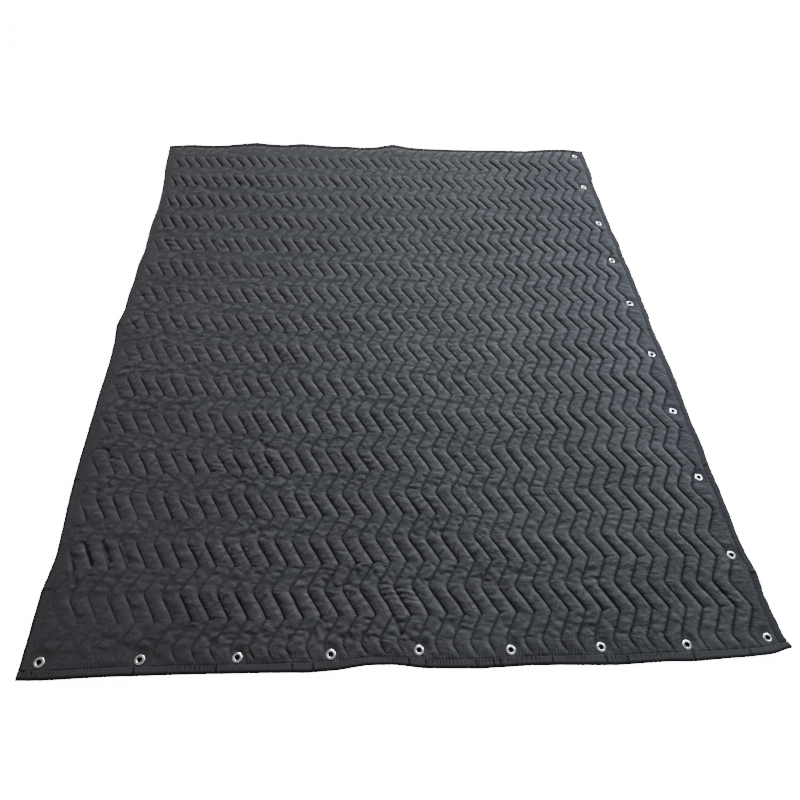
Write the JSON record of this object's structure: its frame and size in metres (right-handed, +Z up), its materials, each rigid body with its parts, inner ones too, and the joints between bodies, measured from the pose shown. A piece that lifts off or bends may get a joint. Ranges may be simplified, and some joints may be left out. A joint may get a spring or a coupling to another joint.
{
  "type": "sound dampening blanket",
  "caption": "Large quilted sound dampening blanket with zigzag stitching, taped edges and metal eyelets along two sides, laid flat.",
  "frame": {"origin": "centre of the blanket's outline, on the floor under it", "axes": "+Z up from the floor through the blanket; +Y along its long side, away from the eyelet row of the front edge; +X across it, towards the eyelet row of the right edge"},
  "size_m": [2.078, 2.4738, 0.0113],
  "materials": {
    "quilted_cloth": "matte woven",
    "binding_tape": "matte woven",
    "eyelet_metal": "bright nickel plate"
  },
  "bodies": {
    "root": {"quilted_panel": "quilted_cloth", "eyelet_strip_front": "quilted_cloth", "eyelet_strip_right": "quilted_cloth", "binding_front": "binding_tape", "binding_back": "binding_tape", "binding_left": "binding_tape", "binding_right": "binding_tape", "eyelet_front_1": "eyelet_metal", "eyelet_front_2": "eyelet_metal", "eyelet_front_3": "eyelet_metal", "eyelet_front_4": "eyelet_metal", "eyelet_front_5": "eyelet_metal", "eyelet_front_6": "eyelet_metal", "eyelet_front_7": "eyelet_metal", "eyelet_front_8": "eyelet_metal", "eyelet_front_9": "eyelet_metal", "eyelet_right_1": "eyelet_metal", "eyelet_right_2": "eyelet_metal", "eyelet_right_3": "eyelet_metal", "eyelet_right_4": "eyelet_metal", "eyelet_right_5": "eyelet_metal", "eyelet_right_6": "eyelet_metal", "eyelet_right_7": "eyelet_metal", "eyelet_right_8": "eyelet_metal", "eyelet_right_9": "eyelet_metal"}
  },
  "joints": []
}
